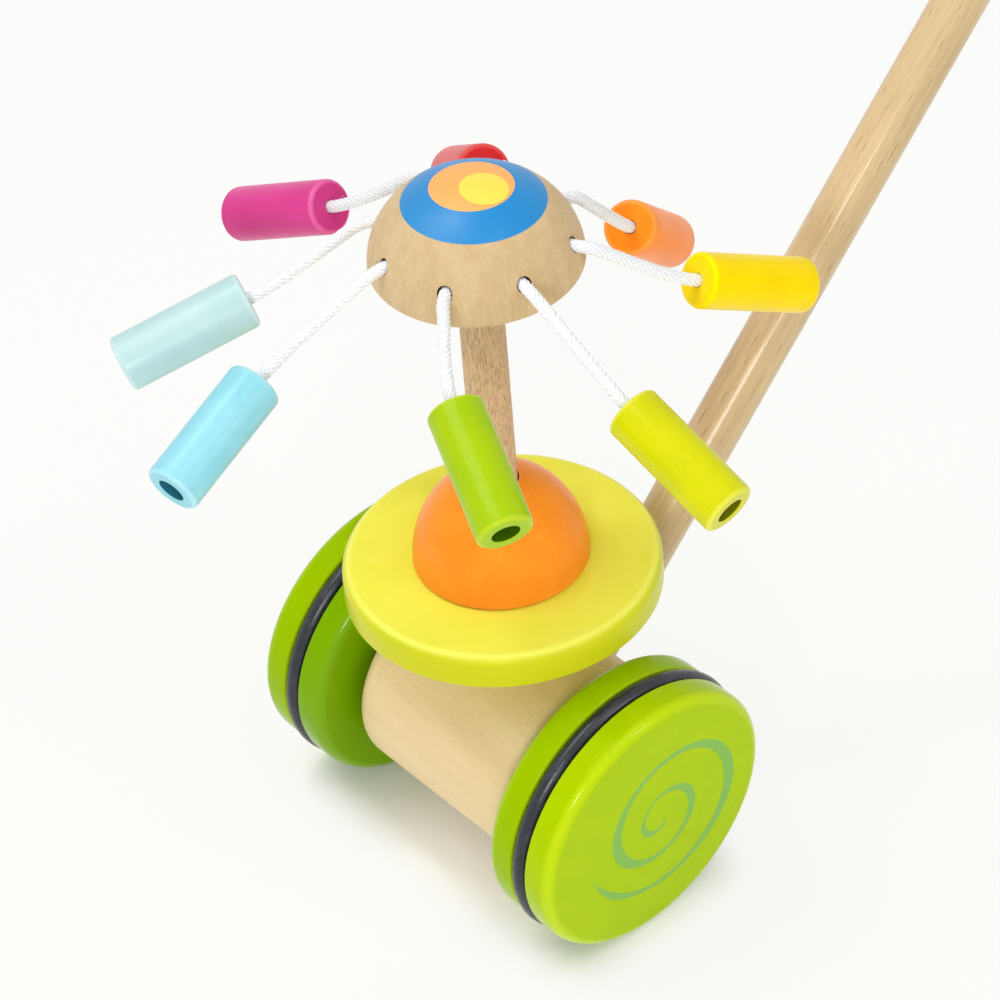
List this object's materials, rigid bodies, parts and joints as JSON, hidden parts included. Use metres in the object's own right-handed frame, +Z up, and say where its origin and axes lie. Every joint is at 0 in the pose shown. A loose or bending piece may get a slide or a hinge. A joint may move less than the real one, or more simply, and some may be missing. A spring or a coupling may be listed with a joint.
{
  "type": "wooden toddler push toy",
  "caption": "Wooden push toy: two wheels on a drum, a leaning handle, and a friction-driven roundabout whose corded beads swing outward as it rolls.",
  "frame": {"origin": "on the floor, under the middle of the toy's bounding box without its cords", "axes": "+Z up; -Y the way the toy is pushed, so the handle leans back towards +Y; +X along the axle, towards the wheel named near"},
  "size_m": [0.2506, 0.5306, 0.4703],
  "materials": {
    "maple": "clear lacquered pale maple",
    "beech": "clear lacquered beech",
    "green_paint": "satin green paint on wood",
    "rubber": "matt black",
    "disc_yellow": "satin yellow paint on wood",
    "cap_orange": "satin orange paint on wood",
    "cotton": "white braided cord",
    "paint_green": "satin green paint on wood",
    "paint_lime": "satin lime paint on wood",
    "paint_yellow": "satin yellow paint on wood",
    "paint_orange": "satin orange paint on wood",
    "paint_red": "satin red paint on wood",
    "paint_pink": "satin pink paint on wood",
    "paint_mint": "satin mint paint on wood",
    "paint_cyan": "satin cyan paint on wood"
  },
  "bodies": {
    "chassis": {"drum": "maple", "handle": "beech"},
    "wheel_set": {"wheel_near": "green_paint", "wheel_far": "green_paint", "ring_near": "rubber", "ring_far": "rubber", "axle": "beech"},
    "roundabout": {"shaft": "beech", "disc": "disc_yellow", "hemisphere": "cap_orange", "dome": "maple", "cord_root_green": "cotton", "cord_root_lime": "cotton", "cord_root_yellow": "cotton", "cord_root_orange": "cotton", "cord_root_red": "cotton", "cord_root_pink": "cotton", "cord_root_mint": "cotton", "cord_root_cyan": "cotton"},
    "bead_green": {"bead_green": "paint_green", "cord_green": "cotton"},
    "bead_lime": {"bead_lime": "paint_lime", "cord_lime": "cotton"},
    "bead_yellow": {"bead_yellow": "paint_yellow", "cord_yellow": "cotton"},
    "bead_orange": {"bead_orange": "paint_orange", "cord_orange": "cotton"},
    "bead_red": {"bead_red": "paint_red", "cord_red": "cotton"},
    "bead_pink": {"bead_pink": "paint_pink", "cord_pink": "cotton"},
    "bead_mint": {"bead_mint": "paint_mint", "cord_mint": "cotton"},
    "bead_cyan": {"bead_cyan": "paint_cyan", "cord_cyan": "cotton"}
  },
  "joints": [
    {"name": "wheels_roll", "type": "hinge", "parent": "chassis", "child": "wheel_set", "pos_m": [0.0078, -0.14241, 0.0508], "axis": [1, 0, 0], "continuous": true},
    {"name": "roundabout_spin", "type": "hinge", "parent": "chassis", "child": "roundabout", "pos_m": [0.0046, -0.13721, 0.0508], "axis": [-0.0715, 0, 0.9974], "continuous": true},
    {"name": "swing_green", "type": "hinge", "parent": "roundabout", "child": "bead_green", "pos_m": [0.00865, -0.1681, 0.25395], "axis": [-0.545, -0.8375, -0.0391], "range_deg": [-62, 18]},
    {"name": "swing_lime", "type": "hinge", "parent": "roundabout", "child": "bead_lime", "pos_m": [0.02502, -0.14593, 0.25512], "axis": [-0.1079, -0.9941, -0.0077], "range_deg": [-58, 22]},
    {"name": "swing_yellow", "type": "hinge", "parent": "roundabout", "child": "bead_yellow", "pos_m": [0.02096, -0.11864, 0.25483], "axis": [0.9576, -0.28, 0.0686], "range_deg": [-39, 39]},
    {"name": "swing_orange", "type": "hinge", "parent": "roundabout", "child": "bead_orange", "pos_m": [-0.00116, -0.10223, 0.25324], "axis": [0.9393, 0.3366, 0.0673], "range_deg": [-28, 51]},
    {"name": "swing_red", "type": "hinge", "parent": "roundabout", "child": "bead_red", "pos_m": [-0.02838, -0.10631, 0.25129], "axis": [0.4637, 0.8854, 0.0332], "range_deg": [-38, 42]},
    {"name": "swing_pink", "type": "hinge", "parent": "roundabout", "child": "bead_pink", "pos_m": [-0.04475, -0.12849, 0.25012], "axis": [-0.1903, 0.9816, -0.0136], "range_deg": [-40, 37]},
    {"name": "swing_mint", "type": "hinge", "parent": "roundabout", "child": "bead_mint", "pos_m": [-0.04068, -0.15577, 0.25041], "axis": [-0.9817, 0.1771, -0.0704], "range_deg": [-63, 17]},
    {"name": "swing_cyan", "type": "hinge", "parent": "roundabout", "child": "bead_cyan", "pos_m": [-0.01856, -0.17218, 0.252], "axis": [-0.9972, 0.0235, -0.0715], "range_deg": [-52, 27]}
  ],
  "couplings": [
    {"joint": "roundabout_spin", "follows": "wheels_roll", "ratio": 1.007}
  ]
}
